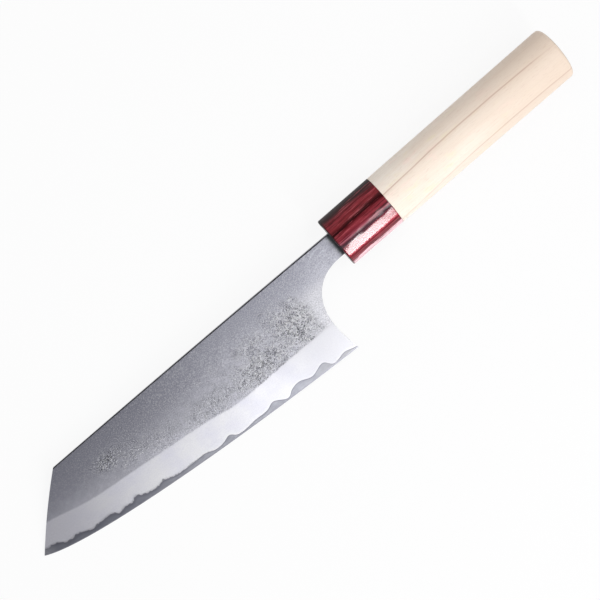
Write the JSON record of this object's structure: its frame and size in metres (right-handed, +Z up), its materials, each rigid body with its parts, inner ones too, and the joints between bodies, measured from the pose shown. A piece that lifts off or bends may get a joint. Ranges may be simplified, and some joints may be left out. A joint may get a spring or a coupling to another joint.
{
  "type": "bunka knife",
  "caption": "Kitchen knife with an angled tip, a laminated blade with a wavy core line above its edge, and an oval pale wood handle with a red ferrule.",
  "frame": {"origin": "middle of the bottom of the bounding box, on the table that the knife lies on", "axes": "+X from the tip to the butt, +Y from the edge to the spine, +Z up from the table; the knife lies on its right side as it settles, on the rim of the ferrule and the belly of the edge, so its blade is rolled 9.75 degrees and pitched 1.73 degrees"},
  "size_m": [0.315, 0.0538, 0.0233],
  "materials": {
    "core_steel": "satin",
    "cladding_steel": "matte",
    "ferrule_wood": "gloss",
    "handle_wood": "matte",
    "bedding_resin": "matte"
  },
  "bodies": {
    "root": {"core_steel": "core_steel", "left_cladding": "cladding_steel", "right_cladding": "cladding_steel", "ferrule": "ferrule_wood", "handle": "handle_wood", "tang_bedding": "bedding_resin"}
  },
  "joints": []
}
